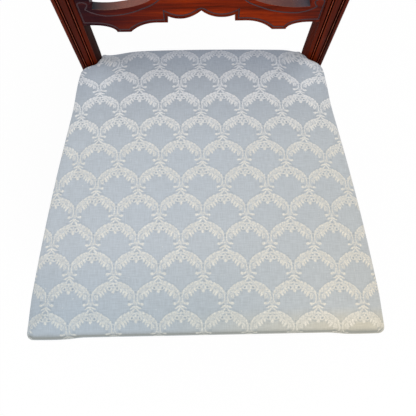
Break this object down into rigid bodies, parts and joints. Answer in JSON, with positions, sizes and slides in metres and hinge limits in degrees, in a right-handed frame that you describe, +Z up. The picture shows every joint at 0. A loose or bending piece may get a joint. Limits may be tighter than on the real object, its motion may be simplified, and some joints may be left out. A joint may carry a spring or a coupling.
{
  "type": "balloon back dining chair",
  "caption": "Dining side chair with a rounded balloon back, a shaped cross rail, turned front legs and a stuffed-over seat.",
  "frame": {"origin": "on the floor, under the middle of the chair's outline", "axes": "+Z up, the chair's front towards -Y, its left and right along X"},
  "size_m": [0.474, 0.4986, 0.882],
  "materials": {
    "mahogany": "french-polished mahogany, dark in the sunk lines",
    "beech": "sawn beech, unfinished",
    "damask": "woven scallop damask, cream figure on a blue-grey ground",
    "calico": "plain unbleached cotton",
    "hessian": "open plain-woven jute",
    "horsehair": "teased curled hair",
    "jute_webbing": "herringbone jute webbing",
    "black_cotton": "thin black cotton",
    "steel": "blued cut tacks and screws"
  },
  "bodies": {
    "root": {"rear_leg_left": "mahogany", "rear_leg_right": "mahogany", "front_leg_left": "mahogany", "front_leg_right": "mahogany", "crest_rail": "mahogany", "cross_rail": "mahogany", "front_rail": "beech", "rear_rail": "beech", "side_rail_left": "beech", "side_rail_right": "beech", "front_brace_left": "beech", "front_brace_right": "beech", "rear_brace_left": "beech", "rear_brace_right": "beech", "brace_screws": "steel", "crest_dowels": "beech", "cross_rail_dowels": "beech", "front_rail_dowels": "beech", "side_rail_front_dowels": "beech", "side_rail_rear_dowels": "beech", "rear_rail_dowels": "beech", "long_web_1": "jute_webbing", "long_web_2": "jute_webbing", "long_web_3": "jute_webbing", "long_web_4": "jute_webbing", "cross_web_1": "jute_webbing", "cross_web_2": "jute_webbing", "cross_web_3": "jute_webbing", "cross_web_4": "jute_webbing", "webbing_tacks": "steel", "hessian": "hessian", "edge_roll": "horsehair", "seat_stuffing": "horsehair", "undercover": "calico", "seat_cover": "damask", "cover_tacks": "steel", "bottom_cloth": "black_cotton", "bottom_cloth_tacks": "steel"}
  },
  "joints": []
}
